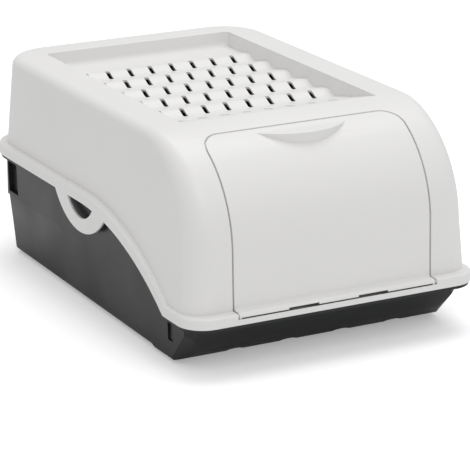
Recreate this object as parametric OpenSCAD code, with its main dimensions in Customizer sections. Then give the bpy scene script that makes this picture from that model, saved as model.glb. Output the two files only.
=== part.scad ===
// Potato storage bin: a dark tub, a pale hood that lifts off it with a vented tray in its top,
// and a curved flap that tips forward on two pins.
// Millimetres. The origin is under the middle of the bin on the surface it stands on.
// +X is to the right seen from the front, the flap is at -Y, +Z is up.

/* [Overall size] */
// Length over the skirt, front to back
bin_l = 400; // [380:1:440]
// Width over the skirt
bin_w = 263; // [255:1:290]
// Height from the table to the flat rim
bin_h = 180; // [176:1:195]

/* [Parting line] */
// Height of the hood's lower edge along the sides and the back
side_edge_z = 94; // [90:1:98]
// Height of the hood's lower edge along the front
front_edge_z = 42; // [40:1:46]
// Radius of the sweep that leads the edge down towards the front
edge_sweep_r = 248; // [235:1:262]
// Plan radius of the skirt at the two front corners
front_corner_r = 22; // [20:1:28]
// Plan radius of the skirt at the two back corners
back_corner_r = 44; // [40:1:48]

/* [Hood] */
// Thickness of the hood's wall
hood_wall = 2.3; // [2:0.1:2.8]
// Draft of the hood's side and back walls, in degrees
hood_draft = 3.2; // [2.5:0.1:3.6]
// Half width of the hood at the level of the rim
hood_top_half_w = 120.5; // [118:0.5:122]
// Distance from the middle of the bin to the hood's back wall at the level of the rim
hood_top_back = 187.5; // [184:0.5:189]
// Radius of the curve from the front face up into the top
brow_r = 85; // [78:1:88]
// Set-back of the front face behind the skirt, at the foot of the curve
face_set_back = 11; // [10:0.5:13]
// How much further forward the face stands at its foot than where the curve begins
face_lean = 1.6; // [1:0.1:2.2]
// Radius that rounds the hood's upper edges
shoulder_r = 9; // [8:0.5:11]
// Radius of the hood's front corners where the front curve begins
brow_corner_r = 20.5; // [18:0.5:25]
// Radius of the hood's front corners at the foot
face_corner_r = 17; // [16:0.5:20]
// Radius of the hood's back corners at the rim
rear_corner_r = 40.5; // [36:0.5:42]
// Radius of the hood's back corners at the foot
rear_foot_r = 35.5; // [33:0.5:38]

/* [Skirt] */
// Height of the skirt from its lower edge to the top of its ledge
skirt_h = 8.7; // [8.4:0.1:10]
// Thickness of the skirt and of its ledge
skirt_wall = 2.5; // [2:0.1:3]
// Radius that rounds the skirt's upper edge
skirt_round = 2; // [1.5:0.1:2.4]

/* [Lift tabs] */
// Width of each tab where it leaves the skirt
tab_w = 97; // [80:1:104]
// How far each tab hangs below the skirt
tab_drop = 25.5; // [22:0.5:28]
// Thickness of a tab
tab_wall = 1.7; // [1.4:0.1:2.5]
// Width of the finger hole at its straight upper side
tab_hole_w = 49; // [40:1:54]
// Height of the finger hole
tab_hole_h = 13.5; // [10:0.5:15]
// Place of the tabs along the bin, from the middle
tab_y = -1.5; // [-3:0.5:3]

/* [Tray] */
// Inside width of the tray at the rim
tray_w = 178; // [168:1:184]
// Place of the tray's back edge, from the middle of the bin
tray_back = 155.5; // [153:0.5:158]
// Depth from the rim to the low lines of the tray's floor
tray_depth = 15.5; // [13:0.5:17]
// Height of the floor's waves
wave_h = 4; // [3:0.5:5]
// Distance between the waves
wave_pitch = 35; // [34:0.1:36]
// Length of a wave's steeper forward face
wave_fall = 11; // [9:0.5:16]
// Place of the first crest, at the foot of the front ramp
first_crest = -59.7; // [-62:0.1:-58]
// Thickness of the tray's floor and walls
tray_wall = 1.8; // [1.5:0.1:2.2]
// Radius between the floor and the tray's back wall
tray_cove_r = 5; // [3:0.5:7]
// Radius of the tray's upright corners
tray_corner_r = 4; // [2:0.5:8]
// Number of vents across the tray
vent_cols = 8; // [6:1:8]
// Number of vent rows along the tray
vent_rows = 6; // [4:1:6]
// Distance between vents across the tray
vent_pitch = 20.1; // [18:0.1:21.5]
// Width of a vent
vent_w = 4; // [3:0.2:6]
// Length of a vent
vent_l = 13; // [9:0.5:16]
// How far in front of its crest a vent has its middle
vent_lead = 5.5; // [4:0.5:7]

/* [Flap] */
// Width of the flap
flap_w = 176.6; // [170:0.2:180]
// Place of the flap's upper edge, from the middle of the bin
flap_top_y = -131.5; // [-134:0.5:-129]
// Radius of the flap's two upper corners
flap_corner_r = 17; // [12:0.5:20]
// Thickness of the flap
flap_wall = 1.9; // [1.6:0.1:2.1]
// Gap around the flap
flap_gap = 1.6; // [0.8:0.1:2]
// Width of the stop frame that the closed flap lies on
frame_lap = 7; // [5:0.5:9]
// Thickness of the stop frame
frame_wall = 2.3; // [1.8:0.1:2.6]
// Height of the doorway's sill
sill_z = 58; // [57:0.5:62]
// Height of the strip of skirt that runs on below the flap
strip_h = 4.5; // [4.2:0.1:4.6]

/* [Grip] */
// Width of the grip lip across the flap
grip_w = 80; // [70:1:90]
// How far the lip's straight back line lies in front of the flap's upper edge
grip_drop = 5.5; // [4:0.5:7]
// How far the lip reaches forward from its straight back line
grip_reach = 17; // [14:0.5:19]
// How far the lip's front leans back under it
grip_undercut = 1.6; // [0.5:0.1:3]
// Height of the lip's front
grip_front_h = 13; // [11:0.5:15]
// Thickness of the lip
grip_wall = 1.9; // [1.6:0.1:2.4]

/* [Hinge] */
// Height of the hinge line above the skirt's lower edge
hinge_rise = 5.5; // [5.4:0.1:6]
// Set-back of the hinge line behind the skirt's face
hinge_set_back = 4.3; // [4.2:0.1:4.6]
// Radius of the rolled bead along the flap's foot
bead_r = 3.4; // [3.2:0.1:3.6]
// Thickness of the rolled bead
bead_wall = 1.6; // [1.3:0.1:1.8]
// Clearance between the bead and the hood
bead_clear = 0.4; // [0.3:0.05:0.5]
// Radius of the two hinge pins
pin_r = 1.7; // [1.4:0.1:1.8]
// Clearance of a pin in its bore
pin_clear = 0.08; // [0.05:0.01:0.1]
// How far a pin reaches beyond the end of the bead
pin_reach = 4.2; // [3.5:0.1:5]
// Thickness of the cheeks that hold the pins
cheek_wall = 4.5; // [4:0.1:6]
// Place of the inner end of each notch in the bead's lip, from the middle
notch_from = 17.8; // [12:0.2:22]
// Length of each notch in the bead's lip
notch_l = 27; // [20:0.5:32]
// Height by which a notch shortens the bead's lip
notch_h = 1.4; // [1:0.1:1.6]

/* [Tub] */
// Thickness of the tub's wall and floor
tub_wall = 2.4; // [2:0.1:3]
// Draft of the tub's sides and back, in degrees
tub_draft = 2; // [1:0.1:3]
// Half width of the tub at the level of the side edge
tub_half_w = 125.5; // [122:0.1:126]
// Distance from the middle of the bin to the tub's back wall at the level of the side edge
tub_back = 192.5; // [188:0.5:193]
// Distance from the middle of the bin to the tub's front, where the bow is fullest
tub_front = 182; // [178:0.5:186]
// Radius of the bow that leads the front under the tub
bow_r = 43; // [38:1:48]
// Radius that rounds the tub's front corners where the bow is fullest
bow_end_r = 18; // [12:1:22]
// Radius that rounds the two ends of the bow, half way down its turn
bow_turn_r = 20; // [16:1:24]
// Radius of the tub's upright back corners
tub_corner_r = 38; // [30:1:42]
// Radius that rounds the tub's bottom edge
tub_bottom_r = 5; // [4:0.5:8]
// Height of the rim lip above the flange
rim_lip_h = 5; // [3:0.5:7]
// Thickness of the flange
flange_t = 2.7; // [2.2:0.1:3.2]
// Distance by which the flange stays inside the skirt's face
flange_inset = 1.5; // [1:0.1:2]
// Gap between the flange and the hood that sits on it
seat_gap = 0.3; // [0.25:0.05:0.5]
// Room in the flange at each end of a lift tab
flange_break = 2; // [1:0.5:5]
// Step between the tub's upper band and its lower panel
band_step = 1.2; // [0.8:0.1:1.6]
// Height of the step's level part
band_z = 56.5; // [50:0.5:62]
// Place along the bin where the step starts to curve down
band_bend_y = 24; // [10:1:40]
// Radius of the step's curve
band_r = 215; // [200:1:230]
// Depth of the recess beside each upper back corner
pocket_d = 4; // [2:0.5:5]
// Place along the bin where the recess starts
pocket_y = 143; // [138:1:150]
// Length of the recess along the bin
pocket_l = 19; // [12:1:24]
// Height of the recess's lower edge
pocket_z = 60; // [57:1:70]
// Width of the upright groove near each front corner
groove_w = 8; // [5:0.5:10]
// Depth of the groove
groove_d = 2.2; // [1:0.1:2.4]
// Place of the groove's middle along the bin
groove_y = -148.5; // [-152:0.5:-145]
// Height of the groove's lower end
groove_z = 19; // [16:1:28]

/* [Runners] */
// Number of runners under the tub
runner_count = 4; // [2:2:4]
// Distance between runners
runner_pitch = 48.7; // [40:0.1:54]
// Width of a runner
runner_w = 20; // [14:1:24]
// Height of a runner
runner_h = 1.5; // [1:0.1:3]
// Place of the runners' front ends, from the middle of the bin
runner_front = -144; // [-148:1:-130]
// Height of the hollow that each runner starts in
runner_hollow_h = 12; // [10:0.5:14]
// Width of that hollow
runner_hollow_w = 24; // [22:1:28]
// Place of the hollow's middle, from the middle of the bin
runner_hollow_y = -151; // [-153:1:-148]
// Place of the runners' back ends, from the middle of the bin
runner_back = 158; // [120:1:165]

/* [Hidden] */

pale = "#e6e5e3";
dark = "#3a3b3d";

$fn = 96;
arc_fn = 180;
sweep_fn = 360;
vent_fn = 32;

// Facets across a rounded edge, the power by which the front corners' radius fades along the brow,
// and angle steps along the big arcs and round the back corners
edge_facets = 8;
brow_fade = 2;
arc_step = 5;
rear_step = 7.5;

half_l = bin_l / 2;
half_w = bin_w / 2;
over = 1;
far = 2 * bin_l;
sweep_end_y = sqrt(pow(edge_sweep_r, 2) - pow(edge_sweep_r - side_edge_z + front_edge_z, 2));

// Axis of the hood's front curve
brow_y = -half_l + face_set_back + brow_r;
brow_z = bin_h - brow_r;
foot_margin = 6;

flap_half_w = flap_w / 2;
face_foot_y = -half_l + face_set_back - face_lean;
hinge_y = -half_l + hinge_set_back;
hinge_z = front_edge_z + hinge_rise;
strip_top_z = front_edge_z + strip_h;
bead_top_z = hinge_z + bead_r;
bead_shy = 0.2;
bead_half_l = flap_half_w - bead_shy;
foot_fillet = 2.2;
web_y = face_foot_y + bead_shy;
frame_margin = 4;

ramp_set = 0.5;
tray_floor_z = bin_h - tray_depth;
crest_z = tray_floor_z + wave_h;
ramp_top_y = brow_y + ramp_set;
wave_steps = 6;
back_strip_z = tray_floor_z + wave_h / 2;
last_crest = first_crest + (vent_rows - 1) * wave_pitch;

ledge_reach = 16;
sweep_spare = 3;
chord_r = function(chord, rise) (pow(chord / 2, 2) + pow(rise, 2)) / (2 * rise);
tab_r = chord_r(tab_w, tab_drop);
tab_hole_r = chord_r(tab_hole_w, tab_hole_h);
grip_r = chord_r(grip_w, grip_reach);

bow_shy = 0.5;
bow_turn = 225;
tub_floor_z = runner_h;
bow_y = -tub_front + bow_r;
bow_z = tub_floor_z + bow_r;
tub_top_z = side_edge_z + rim_lip_h;
tub_step_wall = band_step + tub_wall;
rim_cut_l = 33;

// Half width of the tub's outer wall at a height
function tub_half(z) = tub_half_w - (side_edge_z - z) * tan(tub_draft);
// Place of the tub's outer back wall at a height
function tub_rear(z) = tub_back - (side_edge_z - z) * tan(tub_draft);

// Extrudes an outline drawn in the side view, Y across and Z up, over a width centred on the bin
module side_view(width) {
    translate([-width / 2, 0, 0]) rotate([90, 0, 90]) linear_extrude(width) children();
}

// Plan outline with two radii, set in from the skirt's face by a distance
module plan(inset) {
    rf = front_corner_r - inset;
    rb = back_corner_r - inset;
    wx = half_w - inset;
    ly = half_l - inset;
    for (s = [-1, 1]) {
        translate([s * (wx - rf), -ly + rf]) circle(rf);
        translate([s * (wx - rb), ly - rb]) circle(rb);
    }
    translate([-wx, -ly + rf]) square([2 * wx, 2 * ly - rf - rb]);
    translate([-wx + rf, -ly]) square([2 * (wx - rf), rf + over]);
    translate([-wx + rb, ly - rb - over]) square([2 * (wx - rb), rb + over]);
}

// All that lies below the parting line in the side view, the line raised by a distance square to it
module below_parting(raise) {
    translate([0, side_edge_z + raise - far]) square([far, far]);
    intersection() {
        translate([0, side_edge_z - edge_sweep_r]) circle(edge_sweep_r + raise, $fn = sweep_fn);
        translate([-far, side_edge_z + raise - far]) square([far, far + over]);
    }
    translate([-far, front_edge_z + raise - far]) square([far, far]);
}

// Block with a flat base, drafted walls, and an arc that leads its front over into its top.
// Its edges and corners are rounded, and every face but the base is moved in by inset.
// front_r fades along the arc to edge_r, and rear_r, at the top, runs to base_rear_r at the base.
module block(
    inset, base_z, base_y, base_r, arc_y, arc_z, arc_r, front_r, edge_r,
    top_w, top_rear, draft, rear_r, base_rear_r
) {
    n = edge_facets;
    top_z = arc_z + arc_r;
    e = edge_r - inset;
    e_z = top_z - edge_r;
    c = rear_r - inset;
    base_w = top_w + (top_z - base_z) * tan(draft) - inset;
    base_rear = top_rear + (top_z - base_z) * tan(draft) - inset;
    e_w = top_w + edge_r * tan(draft) - inset;
    e_rear = top_rear + edge_r * tan(draft) - inset;
    angles = [for (i = [0 : n]) 90 * i / n];
    turns = [for (b = [0 : rear_step : 90]) b];
    base_row = [
        for (p = angles) let (r = base_r - inset)
            [base_w - r + r * sin(p), base_y + inset + r - r * cos(p), base_z]
    ];
    arc_rows = [
        for (a = [0 : arc_step : 90])
            let (r = edge_r + (front_r - edge_r) * (1 - pow(a / 90, brow_fade)) - inset)
            let (q = arc_r - inset - r)
            let (x = top_w + (arc_r - q * sin(a)) * tan(draft) - inset - r)
            [
                for (p = angles) let (d = q + r * cos(p))
                    [x + r * sin(p), arc_y - d * cos(a), arc_z + d * sin(a)]
            ]
    ];
    rear_rows = [
        for (b = turns) [
            for (p = angles) let (d = c - e + e * sin(p))
                [e_w - c + d * cos(b), e_rear - c + d * sin(b), e_z + e * cos(p)]
        ]
    ];
    low_row = [
        for (b = turns) let (d = base_rear_r - inset)
            [base_w - d + d * cos(b), base_rear - d + d * sin(b), base_z]
    ];
    rows = concat([base_row], arc_rows, rear_rows);
    half = concat([for (row = rows) each row], low_row);
    k_arc = len(arc_rows);
    k_rear = k_arc + 1;
    k_last = len(rows) - 1;
    m = len(turns) - 1;
    low = len(rows) * (n + 1);
    left = len(half);
    right_faces = concat(
        [for (k = [0 : k_last - 1], i = [0 : n - 1])
            [at(k, i), at(k + 1, i), at(k + 1, i + 1), at(k, i + 1)]],
        [concat([for (k = [0 : k_rear]) at(k, n)], [low])],
        [for (j = [0 : m - 1])
            [at(k_rear + j, n), at(k_rear + j + 1, n), low + j + 1, low + j]]
    );
    middle_faces = concat(
        [for (k = [0 : k_arc - 1]) [left + at(k, 0), left + at(k + 1, 0), at(k + 1, 0), at(k, 0)]],
        [for (i = [0 : n - 1])
            [at(k_last, i), left + at(k_last, i), left + at(k_last, i + 1), at(k_last, i + 1)]],
        [[low + m, at(k_last, n), left + at(k_last, n), left + low + m]],
        [concat([for (k = [k_arc : k_last]) left + at(k, 0)], [for (k = [k_last : -1 : k_arc]) at(k, 0)])],
        [concat(
            [for (i = [0 : n]) at(0, i)],
            [for (j = [0 : m]) low + j],
            [for (j = [m : -1 : 0]) left + low + j],
            [for (i = [n : -1 : 0]) left + at(0, i)]
        )]
    );
    left_faces = [for (f = right_faces) [for (i = [len(f) - 1 : -1 : 0]) left + f[i]]];
    polyhedron(
        points = concat(half, [for (v = half) [-v[0], v[1], v[2]]]),
        faces = concat(right_faces, middle_faces, left_faces),
        convexity = 4
    );
}

// Index of a point in a block's rows
function at(k, i) = k * (edge_facets + 1) + i;

// Outer form of the hood, every face moved in by inset, standing on a foot at foot_z
module hood_form(inset, foot_z) {
    foot_y = face_foot_y - (front_edge_z - foot_z) * face_lean / brow_z;
    block(
        inset, foot_z, foot_y, face_corner_r, brow_y, brow_z, brow_r, brow_corner_r, shoulder_r,
        hood_top_half_w, hood_top_back, hood_draft, rear_corner_r, rear_foot_r
    );
}

// Section of the skirt: a band, a rounded shoulder and a ledge that runs in to the wall.
// X is outwards from the skirt's face, Y is up from its lower edge.
module skirt_section() {
    difference() {
        union() {
            translate([-ledge_reach, 0]) square([ledge_reach, skirt_h - skirt_round]);
            translate([-ledge_reach, 0]) square([ledge_reach - skirt_round, skirt_h]);
            translate([-skirt_round, skirt_h - skirt_round]) circle(skirt_round);
        }
        translate([-ledge_reach - over, -over])
            square([ledge_reach + over - skirt_wall, skirt_h - skirt_wall + over]);
    }
}

// One quarter of plan corner of the skirt, turned about its own centre
module skirt_corner(r) {
    rotate_extrude(angle = 90) translate([r, 0]) skirt_section();
}

// The skirt at +X: its two corners, its straight side and the sweep between them
module skirt_side() {
    sweep_angle = asin(sweep_end_y / edge_sweep_r) + sweep_spare;
    back_x = half_w - back_corner_r;
    back_y = half_l - back_corner_r;
    front_x = half_w - front_corner_r;
    front_y = half_l - front_corner_r;
    translate([back_x, back_y, side_edge_z]) skirt_corner(back_corner_r);
    translate([half_w, back_y, side_edge_z]) rotate([90, 0, 0]) linear_extrude(back_y) skirt_section();
    difference() {
        translate([half_w, 0, side_edge_z - edge_sweep_r])
            rotate([0, -90, 180])
                rotate_extrude(angle = sweep_angle, $fn = sweep_fn)
                    translate([edge_sweep_r, 0]) mirror([1, -1]) skirt_section();
        translate([0, -half_l, front_edge_z - far]) cube([bin_w, bin_l, far]);
    }
    translate([half_w, -sweep_end_y, front_edge_z])
        rotate([90, 0, 0]) linear_extrude(front_y - sweep_end_y) skirt_section();
    mirror([0, 1, 0]) translate([front_x, front_y, front_edge_z]) skirt_corner(front_corner_r);
}

module skirt() {
    back_w = bin_w - 2 * back_corner_r;
    front_w = bin_w - 2 * front_corner_r;
    translate([-back_w / 2, half_l, side_edge_z])
        rotate([90, 0, 90]) linear_extrude(back_w) skirt_section();
    mirror([0, 1, 0]) translate([-front_w / 2, half_l, front_edge_z])
        rotate([90, 0, 90]) linear_extrude(front_w) skirt_section();
    for (s = [0, 1]) mirror([s, 0, 0]) skirt_side();
}

// Upright prism inside the flap's outline, widened by a margin, above a height
module flap_prism(margin, from_z) {
    hw = flap_half_w + margin;
    top = flap_top_y + margin;
    r = flap_corner_r + margin;
    translate([0, 0, from_z]) linear_extrude(bin_h + over - from_z) {
        translate([-hw, -half_l - over]) square([2 * hw, top - r + half_l + over]);
        translate([-hw + r, top - r - over]) square([2 * (hw - r), r + over]);
        for (s = [-1, 1]) translate([s * (hw - r), top - r]) circle(r);
    }
}

// Points of the waves' long back slope behind a crest, from one share of its length to another
function back_slope(crest, from, to) = [
    for (k = [from * wave_steps : to * wave_steps])
        [
            crest + (wave_pitch - wave_fall) * k / wave_steps,
            tray_floor_z + wave_h * (1 + cos(180 * k / wave_steps)) / 2
        ]
];

// Points of the waves' steeper forward face below a crest
function forward_face(crest) = [
    for (k = [1 : wave_steps - 1])
        [
            crest - wave_fall * (1 - k / wave_steps),
            tray_floor_z + wave_h * (1 - cos(180 * k / wave_steps)) / 2
        ]
];

// Side view of the ground under the tray's floor: a ramp, the waves, and a level strip at the back
module tray_ground() {
    crests = [for (i = [0 : vent_rows - 1]) first_crest + i * wave_pitch];
    polygon(concat(
        [[ramp_top_y - foot_margin, 0], [ramp_top_y - foot_margin, bin_h], [ramp_top_y, bin_h]],
        [for (i = [0 : vent_rows - 2]) each concat(back_slope(crests[i], 0, 1), forward_face(crests[i + 1]))],
        back_slope(last_crest, 0, 1 / 2),
        [[tray_back + foot_margin, back_strip_z], [tray_back + foot_margin, 0]]
    ));
}

// Everything that the tray's walls and floor enclose, with their thickness
module tray_block() {
    hw = tray_w / 2 + tray_wall;
    back = tray_back + tray_wall;
    difference() {
        translate([-hw, ramp_top_y - over, tray_floor_z - tray_wall])
            cube([2 * hw, back - ramp_top_y + over, bin_h - hood_wall / 2 - tray_floor_z + tray_wall]);
        translate([0, 0, -tray_wall]) side_view(bin_w) tray_ground();
    }
}

// The open space of the tray
module tray_space() {
    hw = tray_w / 2;
    r = tray_corner_r;
    difference() {
        translate([0, 0, tray_floor_z - over]) linear_extrude(tray_depth + 2 * over) {
            translate([-hw, ramp_top_y]) square([2 * hw, tray_back - r - ramp_top_y]);
            translate([-hw + r, tray_back - r - over]) square([2 * (hw - r), r + over]);
            for (s = [-1, 1]) translate([s * (hw - r), tray_back - r]) circle(r);
        }
        side_view(bin_w) {
            tray_ground();
            difference() {
                translate([tray_back - tray_cove_r, back_strip_z - over])
                    square([tray_cove_r + over, tray_cove_r + over]);
                translate([tray_back - tray_cove_r, back_strip_z + tray_cove_r]) circle(tray_cove_r);
            }
        }
    }
}

// The rows of vents, one row on the forward face of each wave
module vents() {
    for (i = [0 : vent_cols - 1], j = [0 : vent_rows - 1])
        translate([(i - (vent_cols - 1) / 2) * vent_pitch, first_crest + j * wave_pitch - vent_lead, 0])
            translate([0, 0, tray_floor_z - 2 * tray_wall]) linear_extrude(tray_depth) {
                square([vent_w, vent_l - vent_w], center = true);
                for (s = [-1, 1]) translate([0, s * (vent_l - vent_w) / 2]) circle(d = vent_w, $fn = vent_fn);
            }
}

// One lift tab: a rounded plate in line with the skirt's band, with a finger hole
module lift_tab() {
    translate([half_w - tab_wall, 0, 0]) rotate([90, 0, 90]) linear_extrude(tab_wall)
        difference() {
            intersection() {
                translate([tab_y, side_edge_z - tab_drop + tab_r]) circle(tab_r, $fn = arc_fn);
                translate([tab_y - tab_w / 2, 0]) square([tab_w, side_edge_z + skirt_h - skirt_round]);
                below_parting(skirt_h - skirt_round);
            }
            difference() {
                translate([tab_y, side_edge_z - tab_hole_h + tab_hole_r]) circle(tab_hole_r);
                translate([tab_y - tab_hole_w, side_edge_z]) square([2 * tab_hole_w, far]);
            }
        }
}

// Sill of the doorway: a shelf behind the strip of skirt, and the two cheeks that hold the pins
module sill() {
    shelf_from = -half_l + skirt_wall / 2;
    shelf_to = face_foot_y + hood_wall + frame_wall;
    reach = flap_half_w + flap_gap + cheek_wall;
    translate([-reach, shelf_from, front_edge_z])
        cube([2 * reach, shelf_to - shelf_from, skirt_wall - bead_clear]);
    for (s = [-1, 1])
        translate([s > 0 ? reach - cheek_wall : -reach, shelf_from, front_edge_z])
            cube([cheek_wall, shelf_to - shelf_from, skirt_h - skirt_wall + over]);
}

// Solid of the hood before its doorway is cut, with the stop frame round the doorway
module hood_shell() {
    difference() {
        union() {
            difference() {
                hood_form(0, front_edge_z);
                side_view(2 * bin_w) below_parting(skirt_h - skirt_wall / 2);
            }
            skirt();
            for (s = [0, 1]) mirror([s, 0, 0]) lift_tab();
        }
        difference() {
            hood_form(hood_wall, front_edge_z - foot_margin);
            tray_block();
            flap_prism(frame_margin, front_edge_z);
        }
        difference() {
            hood_form(hood_wall + frame_wall, front_edge_z - foot_margin);
            tray_block();
        }
    }
    sill();
}

module hood() {
    bore_l = 2 * (bead_half_l + pin_reach + over);
    color(pale) difference() {
        hood_shell();
        // rebate that the flap closes into
        difference() {
            flap_prism(flap_gap, strip_top_z);
            hood_form(hood_wall, front_edge_z - foot_margin);
        }
        // doorway
        flap_prism(-frame_lap, sill_z);
        // room for the bead, and the two bores for its pins
        translate([-flap_half_w - flap_gap, hinge_y, hinge_z])
            rotate([0, 90, 0]) cylinder(r = bead_r + bead_clear, h = flap_w + 2 * flap_gap);
        translate([-bore_l / 2, hinge_y, hinge_z]) rotate([0, 90, 0]) cylinder(r = pin_r + pin_clear, h = bore_l);
        tray_space();
        vents();
    }
}

// Section of the flap's foot: the rolled bead, the web behind it, and a fillet up to the face
module flap_foot_section() {
    fillet = foot_fillet;
    difference() {
        union() {
            translate([hinge_y, hinge_z]) circle(bead_r);
            translate([hinge_y, bead_top_z - bead_wall]) square([web_y + flap_wall - hinge_y, bead_wall]);
            translate([web_y - fillet, bead_top_z - over]) square([fillet + flap_wall / 2, fillet + over]);
        }
        translate([hinge_y, hinge_z]) circle(bead_r - bead_wall);
        translate([hinge_y, hinge_z - over]) square([2 * bead_r, bead_r - bead_wall + over]);
        translate([hinge_y - bead_r - over, hinge_z - bead_r - over]) square([2 * (bead_r + over), bead_r + over]);
        translate([web_y - fillet, bead_top_z + fillet]) circle(fillet);
    }
}

// The crescent lip under the flap's upper edge, hollow from below, and the pocket inside it
module grip_cone(inset, top_cut) {
    back_y = flap_top_y - grip_drop;
    grip_z = brow_z + sqrt(pow(brow_r, 2) - pow(back_y - brow_y, 2));
    intersection() {
        translate([0, back_y - grip_reach + grip_r, grip_z - grip_front_h])
            cylinder(r1 = grip_r - grip_undercut - inset, r2 = grip_r - inset, h = grip_front_h - top_cut);
        translate([-grip_w, -half_l, 0]) cube([2 * grip_w, back_y + grip_wall + half_l, bin_h]);
    }
}

module flap() {
    color(pale) {
        difference() {
            union() {
                intersection() {
                    hood_form(0, front_edge_z);
                    flap_prism(0, bead_top_z - bead_wall);
                }
                grip_cone(0, 0);
            }
            hood_form(flap_wall, front_edge_z - foot_margin);
            grip_cone(grip_wall, grip_wall);
        }
        difference() {
            side_view(2 * bead_half_l) flap_foot_section();
            for (s = [-1, 1])
                translate([s * (notch_from + notch_l / 2), hinge_y - bead_r, hinge_z - bead_r])
                    cube([notch_l, bead_r, 2 * (bead_r + notch_h)], center = true);
        }
        for (s = [0, 1]) mirror([s, 0, 0]) {
            translate([bead_half_l - bead_wall, hinge_y, hinge_z]) rotate([0, 90, 0]) {
                cylinder(r = bead_r, h = bead_wall);
                cylinder(r = pin_r, h = bead_wall + pin_reach);
            }
        }
    }
}

// Side view of the tub: the bow in front, a level floor, and the drafted back
module tub_side(inset, top_z) {
    floor_z = tub_floor_z + inset;
    front = -tub_front + inset;
    r = tub_bottom_r - inset;
    back_z = floor_z + r;
    intersection() {
        translate([bow_y, bow_z]) circle(bow_r - inset, $fn = arc_fn);
        translate([front, floor_z]) square([bow_y - front, bow_z - floor_z]);
    }
    translate([front, bow_z]) square([bow_y - front, top_z - bow_z]);
    polygon([
        [bow_y, floor_z], [tub_rear(back_z) - inset - r, floor_z], [tub_rear(back_z) - inset, back_z],
        [tub_rear(top_z) - inset, top_z], [bow_y, top_z]
    ]);
    translate([tub_rear(back_z) - inset - r, back_z]) circle(r);
}

// Front view of the tub: drafted sides with rounded lower edges
module tub_section(inset, top_z) {
    floor_z = tub_floor_z + inset;
    r = tub_bottom_r - inset;
    low_z = floor_z + r;
    low_x = tub_half(low_z) - inset;
    for (s = [0, 1]) mirror([s, 0]) {
        polygon([
            [0, floor_z], [low_x - r, floor_z], [low_x, low_z], [tub_half(top_z) - inset, top_z], [0, top_z]
        ]);
        translate([low_x - r, low_z]) circle(r);
    }
}

// Plan of the tub at top_z, with its rounded corners
module tub_plan(inset, top_z) {
    wx = tub_half(top_z) - inset;
    back = tub_rear(top_z) - inset;
    front = tub_front - inset;
    rf = bow_end_r - inset;
    rb = tub_corner_r - inset;
    translate([-wx, -front + rf]) square([2 * wx, back + front - rf - rb]);
    translate([-wx + rf, -front]) square([2 * (wx - rf), rf + over]);
    translate([-wx + rb, back - rb - over]) square([2 * (wx - rb), rb + over]);
    for (s = [-1, 1]) {
        translate([s * (wx - rf), -front + rf]) circle(rf);
        translate([s * (wx - rb), back - rb]) circle(rb);
    }
}

// Prism across the bow at half its turn, which rounds the two ends of the bow
module bow_ends(inset, top_z) {
    r = bow_turn_r - inset;
    x = tub_half(top_z) + bow_shy - inset;
    y = bow_r + bow_shy - inset;
    translate([0, bow_y, bow_z]) rotate([bow_turn, 0, 0]) translate([0, 0, -far]) linear_extrude(2 * far) {
        translate([-x, -far]) square([2 * x, far + y - r]);
        translate([-x + r, y - r - over]) square([2 * (x - r), r + over]);
        for (s = [-1, 1]) translate([s * (x - r), y - r]) circle(r);
    }
}

// Outer form of the tub, every face moved in by inset, open upwards at top_z
module tub_form(inset, top_z) {
    intersection() {
        bow_ends(inset, top_z);
        side_view(2 * bin_w) tub_side(inset, top_z);
        translate([0, half_l, 0]) rotate([90, 0, 0]) linear_extrude(bin_l) tub_section(inset, top_z);
        linear_extrude(far) tub_plan(inset, top_z);
    }
}

// Side view of the tub's lower panel: all that lies below the step
module below_band() {
    translate([band_bend_y, band_z - far]) square([far, far]);
    translate([band_bend_y, band_z - band_r]) circle(band_r, $fn = sweep_fn);
}

// The flange that carries the hood, following the parting line, broken at the lift tabs
module flange() {
    break_l = tab_w + 2 * flange_break;
    difference() {
        intersection() {
            linear_extrude(far) plan(flange_inset);
            side_view(2 * bin_w) difference() {
                below_parting(-seat_gap);
                below_parting(-seat_gap - flange_t);
            }
        }
        for (s = [-1, 1])
            translate([s * half_w, tab_y, side_edge_z])
                cube([2 * (half_w - tub_half_w - over), break_l, bin_h], center = true);
    }
}

// Draws its child once for each runner
module at_runners() {
    for (i = [0 : runner_count - 1])
        translate([(i - (runner_count - 1) / 2) * runner_pitch, 0, 0]) children();
}

// One runner that the tub stands on
module runner() {
    run = runner_back - runner_front - runner_w;
    translate([0, runner_front + runner_w / 2, 0]) linear_extrude(tub_floor_z + tub_wall) {
        circle(d = runner_w);
        translate([0, run]) circle(d = runner_w);
        translate([-runner_w / 2, 0]) square([runner_w, run]);
    }
}

// The hollow in the bow that a runner starts in, or the boss round it
module runner_hollow(wall) {
    translate([0, runner_hollow_y, wall > 0 ? tub_floor_z : -over])
        cylinder(d = runner_hollow_w + 2 * wall, h = runner_hollow_h + wall - (wall > 0 ? tub_floor_z : -over));
}

// Blocks beside the two upper back corners, where the tub's band is set in
module corner_blocks(wall) {
    low_z = pocket_z - wall;
    for (s = [0, 1]) mirror([s, 0, 0])
        translate([tub_half(pocket_z) - pocket_d - wall, pocket_y - wall, low_z])
            cube([bin_w, pocket_l + 2 * wall, side_edge_z - flange_t - seat_gap + wall - low_z]);
}

module grooves() {
    for (s = [0, 1]) mirror([s, 0, 0])
        translate([tub_half(front_edge_z) - groove_d, groove_y - groove_w / 2, groove_z])
            cube([half_w, groove_w, front_edge_z - seat_gap - flange_t - groove_z]);
}

// Solid of the tub, without its flange
module tub_solid() {
    difference() {
        intersection() {
            union() {
                tub_form(band_step, tub_top_z + over);
                difference() {
                    tub_form(0, tub_top_z + over);
                    side_view(2 * bin_w) below_band();
                }
            }
            side_view(2 * bin_w) below_parting(rim_lip_h);
        }
        corner_blocks(0);
        grooves();
        at_runners() runner_hollow(0);
    }
}

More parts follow.
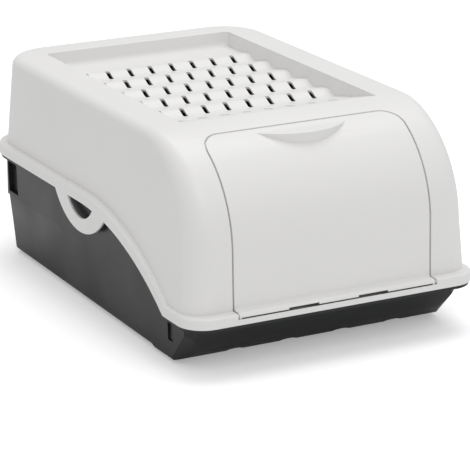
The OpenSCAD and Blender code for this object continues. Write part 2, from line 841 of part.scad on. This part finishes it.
// The inside of the tub
module tub_space() {
    difference() {
        tub_form(tub_step_wall, tub_top_z + 2 * over);
        corner_blocks(tub_wall);
        at_runners() runner_hollow(tub_wall);
    }
}

module tub() {
    door_w = flap_w + 2 * (flap_gap + cheek_wall + over);
    color(dark) difference() {
        union() {
            tub_solid();
            flange();
            at_runners() runner();
        }
        tub_space();
        // the rim stays low under the doorway's sill
        translate([-door_w / 2, -half_l - over, front_edge_z - seat_gap])
            cube([door_w, rim_cut_l, bin_h]);
    }
}

tub();
hood();
flap();
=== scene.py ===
import math

import bpy
from mathutils import Matrix, Vector


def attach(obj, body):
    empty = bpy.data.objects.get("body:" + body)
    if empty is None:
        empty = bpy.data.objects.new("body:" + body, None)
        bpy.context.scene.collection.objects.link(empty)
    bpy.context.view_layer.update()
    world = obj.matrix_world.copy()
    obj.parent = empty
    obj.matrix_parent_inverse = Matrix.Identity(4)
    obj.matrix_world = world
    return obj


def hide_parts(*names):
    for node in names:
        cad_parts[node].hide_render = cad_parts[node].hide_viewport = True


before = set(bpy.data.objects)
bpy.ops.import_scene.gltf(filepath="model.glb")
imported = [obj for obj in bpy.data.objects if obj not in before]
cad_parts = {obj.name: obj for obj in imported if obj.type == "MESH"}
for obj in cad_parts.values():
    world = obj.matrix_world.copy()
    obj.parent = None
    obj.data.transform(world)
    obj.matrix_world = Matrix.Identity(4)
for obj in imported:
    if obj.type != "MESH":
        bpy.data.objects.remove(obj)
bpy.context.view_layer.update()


# Camera. Places and lengths are in metres, here and below.

CAMERA_PLACE = Vector((-0.97443, -1.85785, 0.71429))
CAMERA_TURN = math.radians(-28.0)
CAMERA_RISE = math.radians(17.686)
CAMERA_ROLL = math.radians(-0.123)
CAMERA_REACH = 50.0
LENS_MM = 198.98
SENSOR_MM = 36.0


def stand_camera():
    """Stands the camera where the photograph was taken from."""
    back = Vector((
        math.sin(CAMERA_TURN) * math.cos(CAMERA_RISE),
        -math.cos(CAMERA_TURN) * math.cos(CAMERA_RISE),
        math.sin(CAMERA_RISE),
    ))
    level = Vector((math.cos(CAMERA_TURN), math.sin(CAMERA_TURN), 0.0))
    upright = back.cross(level)
    right = level * math.cos(CAMERA_ROLL) + upright * math.sin(CAMERA_ROLL)
    up = upright * math.cos(CAMERA_ROLL) - level * math.sin(CAMERA_ROLL)
    lens = bpy.data.cameras.new("camera")
    lens.lens = LENS_MM
    lens.sensor_width = SENSOR_MM
    lens.clip_end = CAMERA_REACH
    camera = bpy.data.objects.new("camera", lens)
    bpy.context.scene.collection.objects.link(camera)
    turn = Matrix((right, up, back)).transposed().to_4x4()
    camera.matrix_world = Matrix.Translation(CAMERA_PLACE) @ turn
    bpy.context.scene.camera = camera


# Floor

FLOOR_RADIUS = 6.0
FLOOR_SIDES = 96
FLOOR_TONE = (0.90, 0.90, 0.90, 1.0)
FLOOR_LIFT = 0.33


def new_material(name):
    """An empty node material, with its node tree and its output node."""
    material = bpy.data.materials.new(name)
    material.use_nodes = True
    tree = material.node_tree
    tree.nodes.clear()
    return material, tree, tree.nodes.new("ShaderNodeOutputMaterial")


def build_white_floor():
    """Matt white paint that the camera alone sees a little brighter, so that only the shadow is grey."""
    material, tree, output = new_material("white_floor")
    paint = tree.nodes.new("ShaderNodeBsdfDiffuse")
    paint.inputs["Color"].default_value = FLOOR_TONE
    lift = tree.nodes.new("ShaderNodeEmission")
    lift.inputs["Strength"].default_value = FLOOR_LIFT
    both = tree.nodes.new("ShaderNodeAddShader")
    seen = tree.nodes.new("ShaderNodeLightPath")
    mix = tree.nodes.new("ShaderNodeMixShader")
    tree.links.new(paint.outputs[0], both.inputs[0])
    tree.links.new(lift.outputs[0], both.inputs[1])
    tree.links.new(seen.outputs["Is Camera Ray"], mix.inputs[0])
    tree.links.new(paint.outputs[0], mix.inputs[1])
    tree.links.new(both.outputs[0], mix.inputs[2])
    tree.links.new(mix.outputs[0], output.inputs["Surface"])
    return material


def lay_floor():
    """A plain white floor that keeps the bin's soft shadow."""
    bpy.ops.mesh.primitive_circle_add(
        vertices=FLOOR_SIDES, radius=FLOOR_RADIUS, fill_type="NGON", location=(0.0, 0.0, 0.0),
    )
    floor = bpy.context.object
    floor.name = "floor"
    floor.data.materials.append(build_white_floor())


# Light

WHITE = (1.0, 1.0, 1.0, 1.0)
SURROUND_LIGHT = 0.60
BACKGROUND_LIGHT = 1.0
AIM_POINT = Vector((0.0, 0.0, 0.08))


def light_surround():
    """An even white surround that lights the bin softly and shows the camera plain white."""
    world = bpy.data.worlds.new("studio")
    bpy.context.scene.world = world
    world.use_nodes = True
    tree = world.node_tree
    tree.nodes.clear()
    output = tree.nodes.new("ShaderNodeOutputWorld")
    surround = tree.nodes.new("ShaderNodeBackground")
    surround.inputs["Color"].default_value = WHITE
    surround.inputs["Strength"].default_value = SURROUND_LIGHT
    backdrop = tree.nodes.new("ShaderNodeBackground")
    backdrop.inputs["Color"].default_value = WHITE
    backdrop.inputs["Strength"].default_value = BACKGROUND_LIGHT
    path = tree.nodes.new("ShaderNodeLightPath")
    mix = tree.nodes.new("ShaderNodeMixShader")
    tree.links.new(path.outputs["Is Camera Ray"], mix.inputs[0])
    tree.links.new(surround.outputs[0], mix.inputs[1])
    tree.links.new(backdrop.outputs[0], mix.inputs[2])
    tree.links.new(mix.outputs[0], output.inputs["Surface"])


def hang_softbox(name, place, side, watts):
    """A square soft lamp that points at the bin."""
    lamp = bpy.data.lights.new(name, "AREA")
    lamp.size = side
    lamp.energy = watts
    holder = bpy.data.objects.new(name, lamp)
    bpy.context.scene.collection.objects.link(holder)
    holder.location = place
    holder.rotation_euler = (AIM_POINT - Vector(place)).to_track_quat("-Z", "Y").to_euler()


# Finishes

GRAIN_SCALE = 900.0
GRAIN_DETAIL = 2.0
GRAIN_IN_GLOSS = 0.35
GRAIN_STRENGTH = 0.35
DRIFT_SCALE = 6.0
DRIFT_DETAIL = 3.0
FLOW_DETAIL = 1.0
FLOW_TO_DRIFT = 3.7
GLOSS_LOW = 0.45
GLOSS_HIGH = 0.90


def value_socket(group, name, direction, default=None):
    """Adds one value to what a node group takes in or puts out."""
    socket = group.interface.new_socket(name=name, in_out=direction, socket_type="NodeSocketFloat")
    if default is not None:
        socket.default_value = default


def build_moulded_skin():
    """The skin of an injection moulding: a fine spark-eroded grain, and slow drifts of tone and gloss."""
    group = bpy.data.node_groups.new("moulded_skin", "ShaderNodeTree")
    value_socket(group, "Grain Scale", "INPUT", GRAIN_SCALE)
    value_socket(group, "Drift Scale", "INPUT", DRIFT_SCALE)
    for name in ("Tone", "Gloss", "Relief"):
        value_socket(group, name, "OUTPUT")
    nodes, links = group.nodes, group.links
    entry = nodes.new("NodeGroupInput")
    out = nodes.new("NodeGroupOutput")
    place = nodes.new("ShaderNodeTexCoord")
    grain = nodes.new("ShaderNodeTexNoise")
    grain.inputs["Detail"].default_value = GRAIN_DETAIL
    drift = nodes.new("ShaderNodeTexNoise")
    drift.inputs["Detail"].default_value = DRIFT_DETAIL
    flow = nodes.new("ShaderNodeTexNoise")
    flow.inputs["Detail"].default_value = FLOW_DETAIL
    flow_scale = nodes.new("ShaderNodeMath")
    flow_scale.operation = "MULTIPLY"
    flow_scale.inputs[1].default_value = FLOW_TO_DRIFT
    gloss = nodes.new("ShaderNodeMath")
    gloss.operation = "MULTIPLY_ADD"
    gloss.inputs[1].default_value = GRAIN_IN_GLOSS
    for noise in (grain, drift, flow):
        links.new(place.outputs["Object"], noise.inputs["Vector"])
    links.new(entry.outputs["Grain Scale"], grain.inputs["Scale"])
    links.new(entry.outputs["Drift Scale"], drift.inputs["Scale"])
    links.new(entry.outputs["Drift Scale"], flow_scale.inputs[0])
    links.new(flow_scale.outputs[0], flow.inputs["Scale"])
    links.new(grain.outputs["Fac"], gloss.inputs[0])
    links.new(flow.outputs["Fac"], gloss.inputs[2])
    links.new(drift.outputs["Fac"], out.inputs["Tone"])
    links.new(gloss.outputs[0], out.inputs["Gloss"])
    links.new(grain.outputs["Fac"], out.inputs["Relief"])
    return group


def plastic(name, skin, tones, roughness, grain_scale, grain_depth, ior):
    """A moulded plastic: two close tones that drift into each other, and a fine grain in its gloss."""
    material, tree, output = new_material(name)
    nodes, links = tree.nodes, tree.links
    shader = nodes.new("ShaderNodeBsdfPrincipled")
    shader.inputs["IOR"].default_value = ior
    feel = nodes.new("ShaderNodeGroup")
    feel.node_tree = skin
    feel.inputs["Grain Scale"].default_value = grain_scale
    tint = nodes.new("ShaderNodeMix")
    tint.data_type = "RGBA"
    tint.inputs["A"].default_value = tones[0] + (1.0,)
    tint.inputs["B"].default_value = tones[1] + (1.0,)
    sheen = nodes.new("ShaderNodeMapRange")
    sheen.inputs["From Min"].default_value = GLOSS_LOW
    sheen.inputs["From Max"].default_value = GLOSS_HIGH
    sheen.inputs["To Min"].default_value = roughness[0]
    sheen.inputs["To Max"].default_value = roughness[1]
    bump = nodes.new("ShaderNodeBump")
    bump.inputs["Strength"].default_value = GRAIN_STRENGTH
    bump.inputs["Distance"].default_value = grain_depth
    links.new(feel.outputs["Tone"], tint.inputs["Factor"])
    links.new(tint.outputs["Result"], shader.inputs["Base Color"])
    links.new(feel.outputs["Gloss"], sheen.inputs["Value"])
    links.new(sheen.outputs["Result"], shader.inputs["Roughness"])
    links.new(feel.outputs["Relief"], bump.inputs["Height"])
    links.new(bump.outputs["Normal"], shader.inputs["Normal"])
    links.new(shader.outputs[0], output.inputs["Surface"])
    return material


# Mouldings

MERGE_WITHIN = 2.0e-6
FLAT_WITHIN = math.radians(0.2)
SMOOTH_UNDER = math.radians(13.5)

BAND_Z = 0.0562
REAR_CORNER_X = 0.0860
REAR_CORNER_Y = 0.1525
REAR_CORNER_R = 0.038
# The corner's growth at the floor, and the share of it that is lost on the way up to the band
CORNER_GROWTH = 0.016
GROWTH_LOST = 0.75


def draw_in_rear_corners(mesh):
    """Lets the tub's two upright back corners grow rounder below the band, towards the floor."""
    for vertex in mesh.vertices:
        place = vertex.co
        across = abs(place.x) - REAR_CORNER_X
        along = place.y - REAR_CORNER_Y
        if place.z > BAND_Z or across <= 0.0 or along <= 0.0:
            continue
        reach = math.hypot(across, along)
        drawn = CORNER_GROWTH * (1.0 - GROWTH_LOST * place.z / BAND_Z)
        inward = drawn * ((across + along) / reach - 1.0) * min(reach / REAR_CORNER_R, 1.0)
        place.x -= math.copysign(inward * across / reach, place.x)
        place.y -= inward * along / reach


def mould(node, name, body, finish):
    """A smooth-skinned copy of a CAD node, its loose triangles merged, which stands for that node."""
    bpy.ops.object.select_all(action="DESELECT")
    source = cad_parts[node]
    piece = bpy.data.objects.new(name, source.data.copy())
    bpy.context.scene.collection.objects.link(piece)
    bpy.context.view_layer.objects.active = piece
    piece.select_set(True)
    piece.data.materials.clear()
    piece.data.materials.append(finish)
    if piece.data.has_custom_normals:
        bpy.ops.mesh.customdata_custom_splitnormals_clear()
    bpy.ops.object.mode_set(mode="EDIT")
    bpy.ops.mesh.select_all(action="SELECT")
    bpy.ops.mesh.remove_doubles(threshold=MERGE_WITHIN)
    bpy.ops.mesh.dissolve_limited(angle_limit=FLAT_WITHIN)
    bpy.ops.object.mode_set(mode="OBJECT")
    if node == "tub":
        draw_in_rear_corners(piece.data)
    bpy.ops.object.shade_smooth_by_angle(angle=SMOOTH_UNDER)
    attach(piece, body)
    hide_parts(node)


stand_camera()
lay_floor()
light_surround()
hang_softbox("overhead_softbox", (0.35, 0.35, 2.6), side=1.9, watts=26.0)
hang_softbox("front_softbox", (-0.2, -2.1, 2.3), side=1.4, watts=13.0)

skin = build_moulded_skin()
pale = plastic(
    "pale_plastic", skin,
    tones=((0.79, 0.785, 0.775), (0.81, 0.805, 0.80)), roughness=(0.34, 0.46),
    grain_scale=1400.0, grain_depth=0.00006, ior=1.5,
)
dark = plastic(
    "dark_plastic", skin,
    tones=((0.017, 0.0174, 0.0184), (0.022, 0.0224, 0.0236)), roughness=(0.28, 0.40),
    grain_scale=1100.0, grain_depth=0.00009, ior=1.38,
)

mould("tub", "tub_moulding", "tub_body", dark)
mould("hood", "hood_moulding", "hood_body", pale)
mould("flap", "flap_moulding", "flap_body", pale)

bpy.context.scene.view_settings.view_transform = "Standard"
